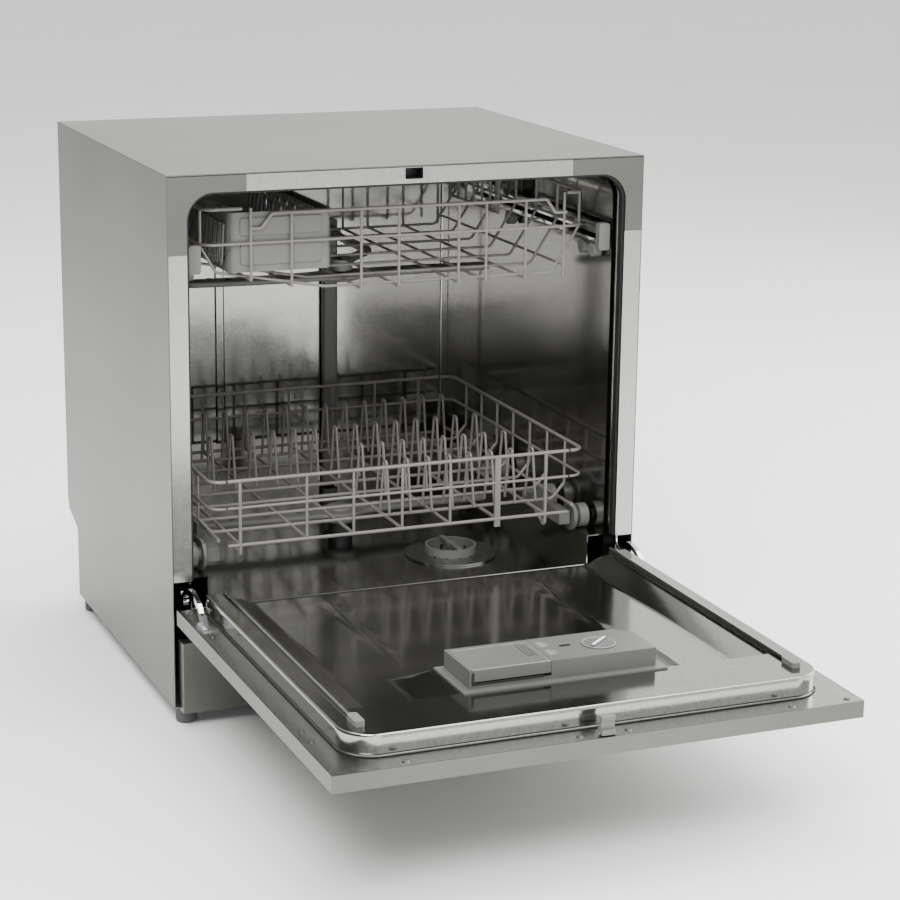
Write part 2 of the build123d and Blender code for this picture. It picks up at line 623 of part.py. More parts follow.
with BuildPart() as upper_rack_walls:
    front = []
    y = UPPER_FRONT
    front.append(rod([(-170, y, 534), (-158, y, 534), (-146, y, UPPER_FRONT_Z),
                      (177, y, UPPER_FRONT_Z), (188, y, 534), (202, y, 534)], WIRE, 4))
    front.append(rod([(-205, y, UPPER_MID_Z), (205, y, UPPER_MID_Z)], THIN_WIRE))
    for x in UPPER_XS:
        high = UPPER_RIM_Z if x in (-170.0, 199.0) else UPPER_FRONT_Z
        front.append(rod([(x, y, upper_floor_z(x) - 2.4), (x, y, high)], THIN_WIRE))
    add(front)
    back = [rod([(-205, UPPER_BACK, z), (205, UPPER_BACK, z)], r)
            for z, r in ((UPPER_FRONT_Z, WIRE), (UPPER_MID_Z, THIN_WIRE))]
    for x in UPPER_XS:
        foot_z = upper_floor_z(x) - 2.4
        back.append(rod([(x, UPPER_BACK, foot_z), (x, UPPER_BACK, UPPER_FRONT_Z)], THIN_WIRE))
    add(back)
    for side in (-1, 1):
        x = side * UPPER_HALF
        loop_end = -180 if side < 0 else 202
        wall = [rod([(loop_end, UPPER_FRONT, UPPER_RIM_Z), (x, UPPER_FRONT, UPPER_RIM_Z),
                     (x, UPPER_BACK, UPPER_RIM_Z), (side * 207, UPPER_BACK, UPPER_RIM_Z)], WIRE, 14)]
        wall.append(rod([(side * 205, UPPER_FRONT, UPPER_MID_Z), (x, UPPER_FRONT, UPPER_MID_Z),
                         (x, UPPER_BACK, UPPER_MID_Z), (side * 205, UPPER_BACK, UPPER_MID_Z)],
                        THIN_WIRE, 14))
        for y in UPPER_YS:
            wall.append(rod([(x, y, UPPER_MID_Z - 4), (x, y, UPPER_RIM_Z)], THIN_WIRE))
        add(wall)
save(upper_rack_walls.part, "upper_rack_walls")

with BuildPart() as cutlery_tray:
    tray_low, tray_high = (-194.0, UPPER_FRONT + 4, 486.0), (-76.0, 300.0, 551.0)
    block(tray_low, tray_high)
    fillet(cutlery_tray.edges().filter_by(Axis.Z), 9)
    block((-191.5, UPPER_FRONT + 6.5, 489), (-78.5, 297.5, 560), Mode.SUBTRACT)
    with Locations((-135, 180, 487)):
        with GridLocations(14, 24, 7, 9):
            Box(8, 16, 8, mode=Mode.SUBTRACT)
    for n in range(9):
        y = 84 + 25.5 * n
        for side in (-1, 1):
            block((-140 + side * 60, y - 8, 498), (-130 + side * 60, y + 8, 540), Mode.SUBTRACT)
save(cutlery_tray.part, "cutlery_tray")

SHELF_X, SHELF_Z = 206.0, 502.0
with BuildPart() as cup_shelf:
    shelf = [rod([(SHELF_X, 262, SHELF_Z), (SHELF_X, 262, 570), (SHELF_X, 414, 570),
                  (SHELF_X, 414, SHELF_Z)], 1.8, 8)]
    shelf.append(rod([(SHELF_X, 262, SHELF_Z), (SHELF_X, 414, SHELF_Z)], 1.8))
    for n in range(1, 6):
        y = 262 + 152 * n / 6
        shelf.append(rod([(SHELF_X, y, SHELF_Z), (SHELF_X, y, 570)], THIN_WIRE))
    add(shelf)
save(cup_shelf.part, "cup_shelf")

with BuildPart() as upper_feed_pipe:
    add(rod([(0, ARM_Y, 454.4), (61, 320, 454.4), (61, 446, 454.4)], 5.2, 20))
    drum((0, ARM_Y, 453.4), 14, 13.0)
    drum((0, ARM_Y, 440), 6, 16)
    drum((61, 444.2, 454.4), 9, 8, "Y")
save(upper_feed_pipe.part, "upper_feed_pipe")

with BuildPart() as upper_rollers:
    for side in (-1, 1):
        drum((side * 239, 295, 530), 8.6, 16, "X")
        drum((side * 231.8, 295, 530), 12.4, 2.4, "X")
        drum((side * 246.1, 295, 530), 12.4, 2.2, "X")
        drum((side * 227.6, 295, 530), 3.6, 6, "X")
save(upper_rollers.part, "upper_rollers")


def make_spray_arm(z, name, hub_low):
    """A hollow-looking arm with nozzles along it and a hub on its axis."""
    with BuildPart() as arm:
        with BuildSketch(Plane.XY.offset(z)):
            with Locations((0, ARM_Y)):
                SlotOverall(ARM_LENGTH, 34)
                Circle(26)
        extrude(amount=9)
        fillet(arm.edges().group_by(Axis.Z)[-1], 3)
        for n in range(8):
            x = 40 + 18 * n
            side = 8 if n % 2 else -8
            for sign in (-1, 1):
                drum((sign * x, ARM_Y + sign * side, z + 9), 2, 4, mode=Mode.SUBTRACT)
        if hub_low:
            drum((0, ARM_Y, z - 6), 22, 12)
            drum((0, ARM_Y, z - 6), 15.3, 14, mode=Mode.SUBTRACT)
            drum((0, ARM_Y, z + 9), 18, 3)
        else:
            drum((0, ARM_Y, z), 6.2, 40, mode=Mode.SUBTRACT)
    save(arm.part, name)


make_spray_arm(UPPER_ARM_Z, "upper_spray_arm", False)
make_spray_arm(LOWER_ARM_Z + 1, "lower_spray_arm", True)

# ---------------------------------------------------------------- lower rack
LOWER_XS = (-190.0, -113.0, -58.0, 0.0, 58.0, 116.0, 176.0)
LOWER_YS = [LOWER_FRONT + 50 * n for n in range(1, 8)]
CROSS_Z = LOWER_FLOOR_Z + 2.4

with BuildPart() as lower_rack_floor:
    wires = []
    for y in LOWER_YS:
        wires.append(rod([(-LOWER_HALF + 1.0, y, 206), (-208, y, CROSS_Z), (208, y, CROSS_Z),
                          (LOWER_HALF - 1.0, y, 206)], WIRE, 8))
    for x in LOWER_XS:
        wires.append(rod([(x, LOWER_FRONT + 1.0, LOWER_FLOOR_Z),
                          (x, LOWER_BACK - 1.0, LOWER_FLOOR_Z)], WIRE))
    for side in (-1, 1):
        wires.append(rod([(side * RUNNER_X, LOWER_FRONT + 6, RUNNER_Z),
                          (side * RUNNER_X, LOWER_BACK - 6, RUNNER_Z)], WIRE))
    add(wires)
save(lower_rack_floor.part, "lower_rack_floor")

with BuildPart() as lower_rack_walls:
    for y, sign in ((LOWER_FRONT, 1), (LOWER_BACK, -1)):
        wires = [rod([(-204, y, z), (204, y, z)], r)
                 for z, r in ((LOWER_RIM_Z, WIRE), (LOWER_MID_Z, THIN_WIRE), (LOWER_FLOOR_Z, WIRE))]
        for x in LOWER_XS:
            if x in (-190.0, 176.0):
                wires.append(rod([(x, y, LOWER_RIM_Z), (x, y, 172), (x, y + sign * 26, 186)], WIRE, 4))
            else:
                wires.append(rod([(x, y, LOWER_FLOOR_Z), (x, y, LOWER_RIM_Z)], THIN_WIRE))
        if y == LOWER_FRONT:
            bar = Box(7, 3, LOWER_RIM_Z - 178, mode=Mode.PRIVATE)
            wires.append(bar.moved(Location((116, y, (LOWER_RIM_Z + 178) / 2))))
        add(wires)
    for side in (-1, 1):
        x = side * LOWER_HALF
        wall = []
        for z, r in ((LOWER_RIM_Z, WIRE), (LOWER_MID_Z, THIN_WIRE)):
            wall.append(rod([(side * 206.5, LOWER_FRONT, z), (x, LOWER_FRONT, z), (x, LOWER_BACK, z),
                             (side * 206.5, LOWER_BACK, z)], r, 14))
        for y in LOWER_YS:
            wall.append(rod([(x, y, 206), (x, y, LOWER_RIM_Z)], THIN_WIRE))
        add(wall)
save(lower_rack_walls.part, "lower_rack_walls")


def tine(x, y):
    """A hairpin that holds one plate, standing on the rack's floor."""
    foot = CROSS_Z + WIRE
    return rod([(x, y - 15, foot), (x, y - 4.5, 252), (x, y + 4.5, 252), (x, y + 15, foot)], THIN_WIRE, 3)


with BuildPart() as lower_tines:
    hairpins = []
    for n in range(15):
        x = -182 + 26 * n
        for y in (268, 378):
            hairpins.append(tine(x, y))
        if n >= 7:
            for y in (98, 178):
                hairpins.append(tine(x, y))
    add(hairpins)
save(lower_tines.part, "lower_tines")

with BuildPart() as wheel_carriers:
    pairs = (("front", "second"), ("third", "rear"))
    for side in (-1, 1):
        for a, b in pairs:
            y0, y1 = WHEEL_PLACES[a], WHEEL_PLACES[b]
            x0, x1 = sorted((side * 206.5, side * 220))
            block((x0, y0 - 9, 164), (x1, y1 + 9, 180))
            clip_y = (y0 + y1) / 2 + 4
            block((x0 + 2, clip_y - 10, 160), (x1 - 2, clip_y + 10, RUNNER_Z + 1))
            drum((side * RUNNER_X, clip_y, RUNNER_Z), WIRE - 0.05, 22, "Y", Mode.SUBTRACT)
            for y in (y0, y1):
                drum((side * 231.5, y, WHEEL_Z), 4.0, 24, "X")
                drum((side * 244.4, y, WHEEL_Z), 6.0, 1.8, "X")
save(wheel_carriers.part, "wheel_carriers")

for wheel_name, wheel_y in WHEEL_PLACES.items():
    with BuildPart() as wheels:
        for side in (-1, 1):
            drum((side * 237.5, wheel_y, WHEEL_Z), WHEEL_RADIUS, 11, "X")
            drum((side * 229.5, wheel_y, WHEEL_Z), 8, 6, "X")
            drum((side * 224.5, wheel_y, WHEEL_Z), 16.8, 4, "X")
            drum((side * 243, wheel_y, WHEEL_Z), 11, 3.6, "X", Mode.SUBTRACT)
            drum((side * 235, wheel_y, WHEEL_Z), 4.08, 40, "X", Mode.SUBTRACT)
            with Locations(Location((side * 241.5, wheel_y, WHEEL_Z), (0, 90, 0))):
                with PolarLocations(7.4, 6):
                    Cylinder(1.9, 6, mode=Mode.SUBTRACT)
    save(wheels.part, f"wheels_{wheel_name}")
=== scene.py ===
"""Looks for a compact dishwasher: brushed casing, pressed door liner, coated wire racks and moulded fittings."""

import json
import math

import bmesh
import bpy
import numpy as np
from bpy.props import FloatProperty, FloatVectorProperty, PointerProperty, StringProperty
from mathutils import Matrix, Vector


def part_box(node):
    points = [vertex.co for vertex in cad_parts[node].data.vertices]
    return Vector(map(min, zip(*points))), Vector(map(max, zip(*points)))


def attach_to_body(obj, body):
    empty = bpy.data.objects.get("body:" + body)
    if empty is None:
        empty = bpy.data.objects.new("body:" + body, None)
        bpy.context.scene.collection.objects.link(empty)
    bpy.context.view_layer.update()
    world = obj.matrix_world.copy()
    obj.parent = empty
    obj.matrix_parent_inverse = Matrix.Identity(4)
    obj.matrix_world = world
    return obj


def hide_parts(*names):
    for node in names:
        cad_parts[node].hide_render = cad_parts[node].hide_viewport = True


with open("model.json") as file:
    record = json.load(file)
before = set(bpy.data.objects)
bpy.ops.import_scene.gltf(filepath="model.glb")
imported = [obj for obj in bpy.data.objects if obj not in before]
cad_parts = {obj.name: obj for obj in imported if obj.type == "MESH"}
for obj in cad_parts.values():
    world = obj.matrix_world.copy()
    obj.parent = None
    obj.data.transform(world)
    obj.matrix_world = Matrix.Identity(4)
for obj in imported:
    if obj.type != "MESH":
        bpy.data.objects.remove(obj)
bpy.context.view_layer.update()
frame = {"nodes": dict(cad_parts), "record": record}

bl_info = {
    "name": "Compact dishwasher",
    "version": (1, 0, 0),
    "blender": (4, 5, 0),
    "location": "View3D > Sidebar > Dishwasher",
    "description": "Dresses the dishwasher's parts and builds its pressed, moulded and formed pieces",
    "category": "Object",
}

MM = 0.001
STREAK_STRETCH = 260.0  # length of a brushed streak over its width
SHEET = 0.8 * MM  # thickness of the pressed liner
CAMERA_YAW, CAMERA_PITCH, CAMERA_ROLL = 22.39, 14.64, 0.73  # degrees, from the perspective fit


# ---------------------------------------------------------------- colour and node helpers
def linear(code, alpha=1.0):
    """Turns an sRGB hex code into linear red, green and blue, with alpha."""
    values = [int(code.lstrip("#")[i:i + 2], 16) / 255 for i in (0, 2, 4)]
    return (*[v / 12.92 if v <= 0.04045 else ((v + 0.055) / 1.055) ** 2.4 for v in values], alpha)


def add_node(tree, kind, settings=None, inputs=None, links=None):
    """Adds a node, sets its options and inputs, and links outputs of other nodes into it."""
    node = tree.nodes.new(kind)
    for name, value in (settings or {}).items():
        setattr(node, name, value)
    for name, value in (inputs or {}).items():
        node.inputs[name].default_value = value
    for name, socket in (links or {}).items():
        tree.links.new(socket, node.inputs[name])
    return node


def start_material(name, base, metallic, roughness, **shader):
    """Makes a material with its shader's own values and returns it with its tree, shader and object coordinates."""
    material = bpy.data.materials.new(name)
    material.use_nodes = True
    tree = material.node_tree
    bsdf = tree.nodes["Principled BSDF"]
    bsdf.inputs["Base Color"].default_value = linear(base)
    bsdf.inputs["Metallic"].default_value = metallic
    bsdf.inputs["Roughness"].default_value = roughness
    for key, value in shader.items():
        bsdf.inputs[key.replace("_", " ")].default_value = value
    where = tree.nodes.new("ShaderNodeTexCoord")
    return material, tree, bsdf, where.outputs["Object"]


def tint(tree, bsdf, factor, dark, light):
    """Links a two-colour blend driven by a factor into the base colour."""
    ramp = tree.nodes.new("ShaderNodeValToRGB")
    ramp.color_ramp.elements[0].color = linear(dark)
    ramp.color_ramp.elements[1].color = linear(light)
    ramp.color_ramp.elements[0].position = 0.25
    ramp.color_ramp.elements[1].position = 0.75
    tree.links.new(factor, ramp.inputs["Fac"])
    tree.links.new(ramp.outputs["Color"], bsdf.inputs["Base Color"])


def rough_range(tree, bsdf, factor, low, high):
    """Maps a factor to a roughness between two values."""
    span = add_node(tree, "ShaderNodeMapRange", None, {"To Min": low, "To Max": high}, {"Value": factor})
    tree.links.new(span.outputs["Result"], bsdf.inputs["Roughness"])


def bump(tree, bsdf, height, strength, distance):
    """Raises the surface by a height pattern."""
    node = add_node(tree, "ShaderNodeBump", None, {"Strength": strength, "Distance": distance}, {"Height": height})
    tree.links.new(node.outputs["Normal"], bsdf.inputs["Normal"])


def brushed(name, base, light, roughness, along, grain=0.35, strength=0.25):
    """Stainless sheet brushed with a belt: long fine scratches in one direction.

    Noise is stretched along the scratches, at the given grain in mm across them, and drives the colour, the
    roughness and a slight relief. The grain is wider than a real belt leaves, so that it shows at this distance.
    """
    material, tree, bsdf, place = start_material(name, base, 1.0, roughness)
    fine = 1.0 / (grain * MM)
    long = fine / STREAK_STRETCH
    scale = {"x": (long, fine, fine), "y": (fine, long, fine), "z": (fine, fine, long)}[along]
    stretch = add_node(tree, "ShaderNodeMapping", None, {"Scale": scale}, {"Vector": place})
    streaks = add_node(tree, "ShaderNodeTexNoise", None, {"Scale": 1.0, "Detail": 4.0, "Roughness": 0.6},
                       {"Vector": stretch.outputs["Vector"]})
    clouds = add_node(tree, "ShaderNodeTexNoise", None, {"Scale": 6.0, "Detail": 2.0}, {"Vector": place})
    blend = add_node(tree, "ShaderNodeMath", {"operation": "MULTIPLY_ADD"},
                     {1: 0.75}, {0: streaks.outputs["Fac"], 2: clouds.outputs["Fac"]})
    level = add_node(tree, "ShaderNodeMath", {"operation": "MULTIPLY"}, {1: 0.57}, {0: blend.outputs["Value"]})
    tint(tree, bsdf, level.outputs["Value"], base, light)
    rough_range(tree, bsdf, streaks.outputs["Fac"], roughness - 0.07, roughness + 0.1)
    bump(tree, bsdf, streaks.outputs["Fac"], strength, 0.00006)
    return material


def rolled(name, base, light, roughness, wave_mm=70.0, strength=0.25):
    """Bright annealed stainless sheet: nearly a mirror, with slow waves left by the press."""
    material, tree, bsdf, place = start_material(name, base, 1.0, roughness)
    waves = add_node(tree, "ShaderNodeTexNoise", None, {"Scale": 1.0 / (wave_mm * MM), "Detail": 1.5},
                     {"Vector": place})
    haze = add_node(tree, "ShaderNodeTexNoise", None, {"Scale": 240.0, "Detail": 5.0, "Roughness": 0.7},
                    {"Vector": place})
    tint(tree, bsdf, haze.outputs["Fac"], base, light)
    rough_range(tree, bsdf, haze.outputs["Fac"], roughness * 0.75, roughness * 1.35)
    bump(tree, bsdf, waves.outputs["Fac"], strength, 0.0012)
    return material


def moulded(name, base, light, roughness, grain_mm=0.9, strength=0.25, **shader):
    """Injection-moulded plastic with a fine spark-eroded grain and a soft sheen."""
    material, tree, bsdf, place = start_material(name, base, 0.0, roughness, **shader)
    grain = add_node(tree, "ShaderNodeTexNoise", None, {"Scale": 1.0 / (grain_mm * MM), "Detail": 3.0},
                     {"Vector": place})
    flow = add_node(tree, "ShaderNodeTexNoise", None, {"Scale": 14.0, "Detail": 2.0}, {"Vector": place})
    tint(tree, bsdf, flow.outputs["Fac"], base, light)
    rough_range(tree, bsdf, grain.outputs["Fac"], roughness - 0.06, roughness + 0.08)
    bump(tree, bsdf, grain.outputs["Fac"], strength, 0.00008)
    return material


def spangled(name, base, light, roughness):
    """Hot-dip zinc: crystals about 9 mm across, each of a slightly different grey."""
    material, tree, bsdf, place = start_material(name, base, 0.9, roughness)
    cells = add_node(tree, "ShaderNodeTexVoronoi", None, {"Scale": 1.0 / (9.0 * MM)}, {"Vector": place})
    grey = add_node(tree, "ShaderNodeSeparateColor", None, None, {"Color": cells.outputs["Color"]})
    tint(tree, bsdf, grey.outputs["Red"], base, light)
    rough_range(tree, bsdf, grey.outputs["Red"], roughness - 0.08, roughness + 0.1)
    return material


def make_materials(look):
    """All the finishes, by the record's slot names."""
    casing = look.casing_hex
    return {
        "brushed_casing": brushed("brushed_304_stainless_casing", casing, look.casing_light_hex, 0.34, "z"),
        "brushed_door": brushed("brushed_304_stainless_door", casing, look.casing_light_hex, 0.34, "x"),
        "brushed_top": brushed("brushed_304_stainless_top", casing, look.casing_light_hex, 0.30, "x"),
        "plain_steel": rolled("bright_annealed_stainless_flange", "#A2A39E", "#B6B7B2", 0.22, 120.0, 0.12),
        "tub_steel": rolled("bright_annealed_stainless_pressing", "#93938E", "#ABABA6", 0.13, 60.0, 0.25),
        "galvanised": spangled("hot_dip_zinc_sheet", "#8B8F90", "#9A9E9F", 0.42),
        "bright_chrome": rolled("chrome_plate", "#D6D8DA", "#ECEDEE", 0.05, 30.0, 0.1),
        "grey_plastic": moulded("polypropylene_satin_grey", "#63635F", "#6B6B68", 0.40),
        "dispenser_plastic": moulded("polypropylene_dispenser_grey", "#575754", "#5F5F5C", 0.34),
        "dark_plastic": moulded("abs_moulded_black", "#17181A", "#202124", 0.38),
        "white_plastic": moulded("polyamide_natural_white", "#D9D7CF", "#E6E4DC", 0.45),
        "black_rubber": moulded("epdm_rubber_extruded", "#0F1011", "#1A1B1C", 0.62, 0.6, 0.35),
        "foot_rubber": moulded("moulded_rubber_foot", "#3A3B3B", "#4A4B4B", 0.6, 0.6, 0.35),
        "coated_wire": moulded("nylon_coated_wire_grey", "#716E6A", "#7A7773", 0.32, 3.0, 0.3, Coat_Weight=0.2),
        "key_steel": brushed("brushed_key_cap", "#A8A9A6", "#C4C5C2", 0.28, "x", 0.3),
        "display_glass": moulded("smoked_acrylic_window", "#060708", "#0B0C0E", 0.06, 4.0, 0.02),
        # lighter grey than the dispenser: the ticks' moulded marks lightened as painted highlight, and painted
        # highlight lines along the edges of the lid and the dial
        "dispenser_mark": moulded("polypropylene_marks_and_painted_highlight", "#8F8F8B", "#979793", 0.3, 2.0, 0.1),
        "lamp_lens": moulded("frosted_lamp_lens", "#BFD8E6", "#D7E8F1", 0.3, 2.0, 0.1),
    }


# ---------------------------------------------------------------- surface helpers
def mesh_object(name, points, faces, material, smooth=True):
    """Puts vertices and faces into a new object with one material."""
    mesh = bpy.data.meshes.new(name)
    mesh.from_pydata([tuple(p) for p in np.asarray(points).reshape(-1, 3)], [], faces)
    mesh.update()
    mesh.validate()
    item = bpy.data.objects.new(name, mesh)
    bpy.context.scene.collection.objects.link(item)
    mesh.materials.append(material)
    if smooth:
        mesh.polygons.foreach_set("use_smooth", [True] * len(mesh.polygons))
    return item


def grid_faces(rows, columns, wrap_rows=False, wrap_columns=False, offset=0):
    """Quads between neighbouring rows and columns of a grid of points."""
    r = np.arange(rows if wrap_rows else rows - 1)
    c = np.arange(columns if wrap_columns else columns - 1)
    rr, cc = np.meshgrid(r, c, indexing="ij")
    r2, c2 = (rr + 1) % rows, (cc + 1) % columns
    quads = np.stack([rr * columns + cc, rr * columns + c2, r2 * columns + c2, r2 * columns + cc], -1)
    return (quads.reshape(-1, 4) + offset).tolist()


def ease(t):
    """Smooth step from 0 to 1."""
    t = np.clip(t, 0.0, 1.0)
    return t * t * (3.0 - 2.0 * t)


def tube(name, path, radius, sides, material, closed=False):
    """A round section carried along a path: each ring lies square to the path's direction."""
    path = np.asarray(path, float)
    if closed:
        ahead = np.roll(path, -1, 0) - np.roll(path, 1, 0)
    else:
        ahead = np.gradient(path, axis=0)
    ahead /= np.linalg.norm(ahead, axis=1)[:, None]
    guide = np.array([0.0, 0.0, 1.0]) if np.abs(ahead[:, 2]).max() < 0.95 else np.array([1.0, 0.0, 0.0])
    side = np.cross(ahead, guide)
    side /= np.linalg.norm(side, axis=1)[:, None]
    up = np.cross(side, ahead)
    turn = np.linspace(0, 2 * np.pi, sides, endpoint=False)
    ring = side[:, None] * np.cos(turn)[None, :, None] + up[:, None] * np.sin(turn)[None, :, None]
    points = path[:, None] + radius * ring
    faces = grid_faces(len(path), sides, closed, True)
    if not closed:
        last = (len(path) - 1) * sides
        faces.append(list(range(sides)))
        faces.append(list(range(last + sides - 1, last - 1, -1)))
    return mesh_object(name, points, faces, material)


def recess_wall(half, near, far, radius, count=14):
    """Outline of a plan shape whose two far corners are round, from the near left to the near right."""
    turn = np.linspace(0, np.pi / 2, count)
    left = np.stack([-half + radius - radius * np.cos(turn), far + radius - radius * np.sin(turn)], -1)
    right = np.stack([half - radius + radius * np.sin(turn), far + radius - radius * np.cos(turn)], -1)
    return np.concatenate([[[-half, near]], left, right, [[half, near]]])


# ---------------------------------------------------------------- settings
class LookSettings(bpy.types.PropertyGroup):
    """Colours that more than one finish uses"""
    casing_hex: StringProperty(name="Casing", description="Darker colour of the brushed casing", default="#64645F")
    casing_light_hex: StringProperty(name="Casing streaks", description="Lighter colour of the brushed casing",
                                     default="#757570")
    floor_hex: StringProperty(name="Floor", description="Colour of the floor", default="#F4F4F3")


class LinerSettings(bpy.types.PropertyGroup):
    """Sizes of the pressed door liner"""
    edge: FloatProperty(name="Edge radius", description="Radius of the pressed edges", default=2.6 * MM,
                        unit="LENGTH")
    pan_depth: FloatProperty(name="Pan depth", description="Depth of the pan in the liner", default=14.7 * MM,
                             unit="LENGTH")
    slope: FloatProperty(name="Pan slope", description="Width of the pan's sloping sides", default=33 * MM,
                         unit="LENGTH")


class ArmSettings(bpy.types.PropertyGroup):
    """Sizes of the spray arms"""
    width: FloatProperty(name="Arm width", description="Widest part of a spray arm", default=34 * MM, unit="LENGTH")
    tip: FloatProperty(name="Tip width", description="Share of the width left at the tip", default=0.62)


class StageSettings(bpy.types.PropertyGroup):
    """Camera and light of the studio"""
    lens: FloatProperty(name="Lens", description="Focal length on a 36 mm sensor", default=96.8)
    eye: FloatVectorProperty(name="Camera", description="Place of the camera", default=(-0.9463, -2.3924, 0.9615),
                             subtype="XYZ", unit="LENGTH")
    key: FloatProperty(name="Key light", description="Power of the main softbox", default=165.0, unit="POWER")
    sky: FloatProperty(name="Sky", description="Strength of the studio's white surroundings", default=1.6)


# ---------------------------------------------------------------- operators
FINISHES = {}
NODES = frame["nodes"]


def dress(node, finish):
    """Gives a CAD node one finish in place of its own."""
    mesh = NODES[node].data
    mesh.materials.clear()
    mesh.materials.append(FINISHES[finish])


class DISHWASHER_OT_finishes(bpy.types.Operator):
    """Make every finish and put it on the frame's own pieces"""
    bl_idname = "dishwasher.finishes"
    bl_label = "Finishes"

    special = {
        "door_outer_panel": "brushed_door", "plinth": "brushed_door", "top_panel": "brushed_top",
        "corner_plates": "brushed_door", "dispenser_body": "dispenser_plastic",
        "detergent_lid": "dispenser_plastic", "rinse_cap": "dispenser_plastic", "feet": "foot_rubber",
    }

    def execute(self, context):
        FINISHES.update(make_materials(context.scene.dishwasher_look))
        for row in frame["record"]["subparts"]:
            dress(row["node"], self.special.get(row["node"], row["material_slot"]))
        return {"FINISHED"}


def fine_steps(start, stop, count, marks):
    """Even steps with extra ones close to the marks."""
    extra = [m + d for m in marks for d in np.linspace(-5, 5, 15) * MM]
    steps = np.unique(np.round(np.concatenate([np.linspace(start, stop, count), extra]), 6))
    return steps[(steps >= start) & (steps <= stop)]


def pressed_sheet(values, half, near, far, top, corner, seat):
    """Height of the liner over its plan, as three grids.

    The plan is a rectangle whose two far corners are round. The sheet lies at the top, less the pan's depth,
    plus two long ribs, less the rounding at its edges. Across the door the pan's floor climbs by three quarters
    over its slope and then stands up in a steep lip; along the door it starts with a smooth step. The pan fades
    out towards the dispenser, which stands on a seat as high as the rim. Each rib is a bell curve across the door.
    The edge is a quarter circle.
    """
    ledge, pan_start = 21 * MM, 73 * MM
    climb_share, lip_width, start_width = 0.75, 1.8 * MM, 5 * MM
    seat_slope, seat_stretch = 36 * MM, 1.5
    rib_height, rib_place, rib_width = 0.9 * MM, 120 * MM, 5 * MM

    def half_at(y):
        """Half width of the plan shape at a distance from the far edge."""
        into = np.clip(corner - (y - far), 0.0, corner)
        return half - corner + np.sqrt(np.maximum(corner ** 2 - into ** 2, 0.0))

    pan_far = far + pan_start
    pan_half = half - ledge
    rows = fine_steps(far, near, 90, [far, far + 3 * MM, pan_far, seat.y, seat.y + 20 * MM])
    share = np.linspace(-1, 1, 121)
    rim = 1 - np.array([0, 0.4, 0.9, 1.6, 2.4, 3.4, 5]) * MM / half
    lip = (pan_half - 1 * MM + np.linspace(0, 2.8, 8) * MM) / half
    share = np.unique(np.concatenate([share, rim, -rim, lip, -lip]))
    yy, ss = np.meshgrid(rows, share, indexing="ij")
    xx = ss * half_at(yy)

    climb = np.clip((np.abs(xx) - (pan_half - values.slope)) / values.slope, 0, 1)
    knee = 1 - ease((np.abs(xx) - (pan_half - 0.6 * MM)) / lip_width)
    depth_x = (1 - climb_share * climb) * knee
    depth_y = ease((yy - (pan_far - 1 * MM)) / start_width)
    away_x = np.maximum(np.abs(xx) - seat.x, 0)
    away_y = np.maximum(yy - seat.y, 0)
    away = np.maximum(away_x, away_y * seat_stretch)
    raised = 1 - np.clip(away / seat_slope, 0, 1)
    depth = depth_x * depth_y * (1 - raised)

    rib = rib_height * np.exp(-((np.abs(xx) - rib_place) / rib_width) ** 2) * ease((yy + 250 * MM) / (30 * MM))
    rib = rib * ease((near - 20 * MM - yy) / (20 * MM))
    inset, inset_far = half_at(yy) - np.abs(xx), yy - far
    gap = np.where(inset_far < corner, np.minimum(inset, inset_far), inset)
    sunk = np.clip(values.edge - gap, 0, values.edge)
    fall = values.edge - np.sqrt(np.maximum(values.edge ** 2 - sunk ** 2, 0))
    return xx, yy, top - values.pan_depth * depth + rib - fall


class DISHWASHER_OT_liner(bpy.types.Operator):
    """Press the door's inner liner from one sheet, with its pan and the raised seat of the dispenser"""
    bl_idname = "dishwasher.liner"
    bl_label = "Door liner"

    def execute(self, context):
        values = context.scene.dishwasher_liner
        low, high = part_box("door_liner")
        _, seat_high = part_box("dispenser_body")
        half, near, far, top = high.x, high.y, low.y, high.z
        corner = 35 * MM
        xx, yy, zz = pressed_sheet(values, half, near, far, top, corner, seat_high)
        surface = np.stack([xx, yy, zz], -1)
        left = surface[::-1, 0]
        far_row = surface[0]
        right = surface[:, -1]
        rim_line = np.concatenate([left[:-1], far_row, right[1:]])
        heights = np.linspace(0, 1, 6)[1:]
        foot = low.z + 0.2 * MM
        skirt = [rim_line * [1, 1, 0] + [0, 0, 1] * (rim_line[:, 2:] * (1 - h) + foot * h) for h in heights]
        skirt = np.concatenate([[rim_line], skirt])
        faces = grid_faces(*surface.shape[:2])
        offset = surface.reshape(-1, 3).shape[0]
        faces += grid_faces(skirt.shape[0], skirt.shape[1], offset=offset)
        points = np.concatenate([surface.reshape(-1, 3), skirt.reshape(-1, 3)])
        liner = mesh_object("pressed_liner", points, faces, FINISHES["tub_steel"])
        weld_and_point_up(liner)
        thick = liner.modifiers.new("sheet", "SOLIDIFY")
        thick.thickness = SHEET
        thick.offset = -1
        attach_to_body(liner, "door")
        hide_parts("door_liner")

        outline = recess_wall(half + 1.4 * MM, near, far - 1.4 * MM, corner + 1.4 * MM)
        path = np.column_stack([outline, np.full(len(outline), low.z + 0.6 * MM)])
        seal = tube("liner_seal", path, 0.6 * MM, 8, FINISHES["black_rubber"])
        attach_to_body(seal, "door")
        return {"FINISHED"}


def turned(centre, base, radii, heights, count, squash=1.0):
    """Rings round an upright axis: each radius and height of the profile is carried round a circle or an oval."""
    turn = np.linspace(0, 2 * np.pi, count, endpoint=False)
    return np.stack([centre[0] + radii[:, None] * np.cos(turn), centre[1] + radii[:, None] * np.sin(turn) * squash,
                     base + heights[:, None] + 0 * turn], -1)


